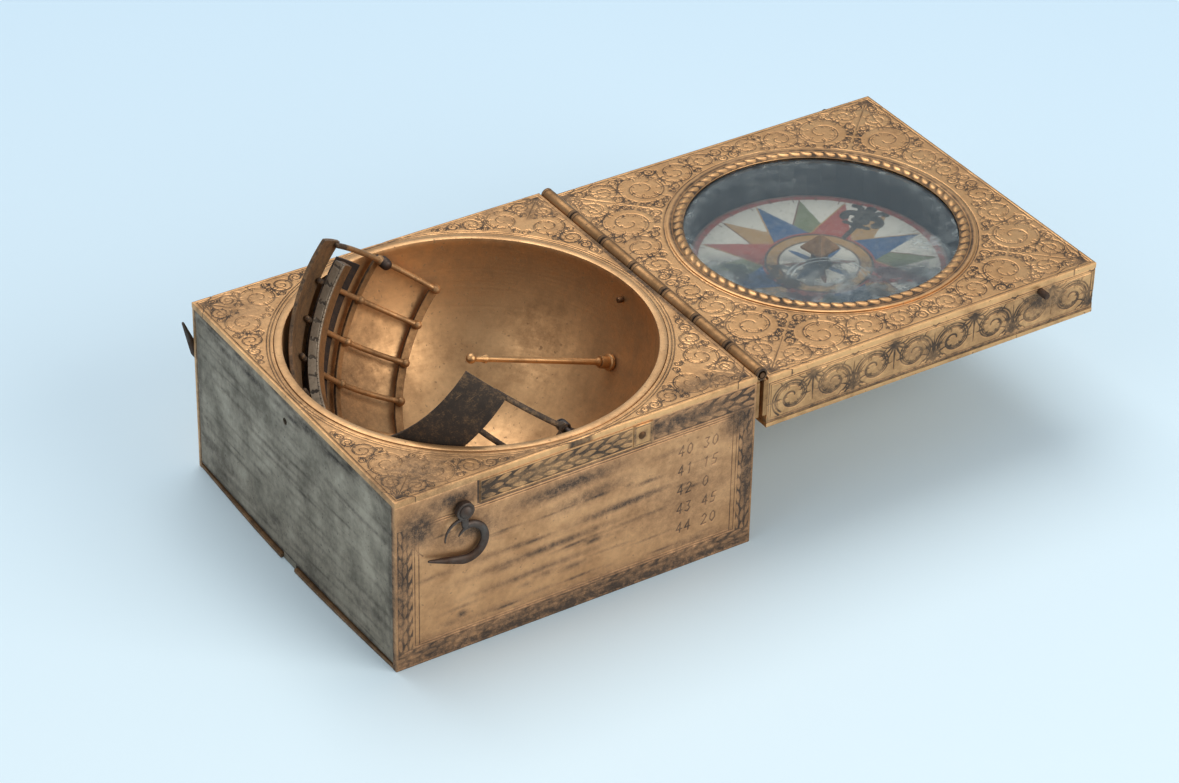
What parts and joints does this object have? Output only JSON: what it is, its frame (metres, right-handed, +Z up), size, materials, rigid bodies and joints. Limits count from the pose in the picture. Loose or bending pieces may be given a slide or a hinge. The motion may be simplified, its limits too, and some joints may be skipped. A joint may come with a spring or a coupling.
{
  "type": "scaphe dial",
  "caption": "Pocket sundial: square gilt brass case with a hemispherical bowl, a gnomon pin, a tilting hour cage and a hinged lid holding a compass",
  "frame": {"origin": "Centre of the underside of the case, on the surface that it stands on", "axes": "+Z up, +X from the case towards the hinge and the open lid, -Y the front wall with the ornament strip"},
  "size_m": [0.1319, 0.0668, 0.0423],
  "materials": {
    "gilt_brass": "worn gilding, engraved, dark in the lines",
    "bowl_brass": "satin gilding with fine turning marks",
    "silvered_brass": "worn silvering with dark patches",
    "dark_brass": "browned, dull",
    "iron": "dark, lightly rusted",
    "card_paper": "matt, painted star",
    "glass": "clear, hazy at the edge"
  },
  "bodies": {
    "case": {"bottom_plate": "gilt_brass", "front_wall": "gilt_brass", "back_wall": "gilt_brass", "left_wall": "silvered_brass", "right_wall": "gilt_brass", "top_plate": "gilt_brass", "scaphe_bowl": "bowl_brass", "ornament_strip": "gilt_brass", "ornament_strip_rivet": "dark_brass", "case_hinge_leaf": "gilt_brass", "hinge_pin": "dark_brass", "pivot_pin_back": "dark_brass", "pivot_pin_front": "dark_brass", "gnomon_socket": "gilt_brass", "gnomon_pin": "gilt_brass", "rim_peg": "dark_brass", "front_hook_rivet": "iron", "rear_hook_rivet": "iron"},
    "lid": {"lid_hinge_leaf": "gilt_brass", "lid_face": "gilt_brass", "lid_back": "gilt_brass", "lid_front_wall": "gilt_brass", "lid_rear_wall": "gilt_brass", "lid_hinge_wall": "gilt_brass", "lid_far_wall": "gilt_brass", "compass_well": "dark_brass", "compass_glass": "glass", "compass_bezel": "gilt_brass", "needle_post": "dark_brass", "lid_front_stud": "dark_brass", "lid_rear_stud": "dark_brass"},
    "card": {"compass_card": "card_paper", "compass_needle": "iron", "needle_cap": "gilt_brass"},
    "cage": {"tropic_rail": "gilt_brass", "equator_rail": "gilt_brass", "hour_band": "dark_brass", "hour_scale": "silvered_brass", "north_band": "dark_brass", "hour_rung_01": "gilt_brass", "hour_rung_02": "gilt_brass", "hour_rung_03": "gilt_brass", "hour_rung_04": "gilt_brass", "hour_rung_05": "gilt_brass", "hour_rung_06": "gilt_brass", "hour_rung_07": "gilt_brass", "hour_rung_08": "gilt_brass", "hour_rung_09": "gilt_brass", "hour_rung_10": "gilt_brass", "hour_rung_11": "gilt_brass", "hour_rung_12": "gilt_brass", "hour_rung_13": "gilt_brass"},
    "front_hook": {"front_hook": "iron"},
    "rear_hook": {"rear_hook": "iron"}
  },
  "joints": [
    {"name": "lid_hinge", "type": "hinge", "parent": "case", "child": "lid", "pos_m": [0.03315, 0, 0.03085], "axis": [0, -1, 0], "range_deg": [0, 180]},
    {"name": "cage_tilt", "type": "hinge", "parent": "case", "child": "cage", "pos_m": [0, 0, 0.03055], "axis": [0, -1, 0], "range_deg": [-20, 38.8]},
    {"name": "card_spin", "type": "hinge", "parent": "lid", "child": "card", "pos_m": [0.0663, 0, 0.025], "axis": [0, 0, 1], "continuous": true},
    {"name": "front_hook_turn", "type": "hinge", "parent": "case", "child": "front_hook", "pos_m": [-0.0206, -0.0323, 0.0262], "axis": [0, 1, 0], "range_deg": [-30, 180]},
    {"name": "rear_hook_turn", "type": "hinge", "parent": "case", "child": "rear_hook", "pos_m": [-0.024, 0.0323, 0.0262], "axis": [0, 1, 0], "range_deg": [-85, 125]}
  ],
  "couplings": [
    {"joint": "cage_tilt", "follows": "lid_hinge", "ratio": 0.2155}
  ]
}
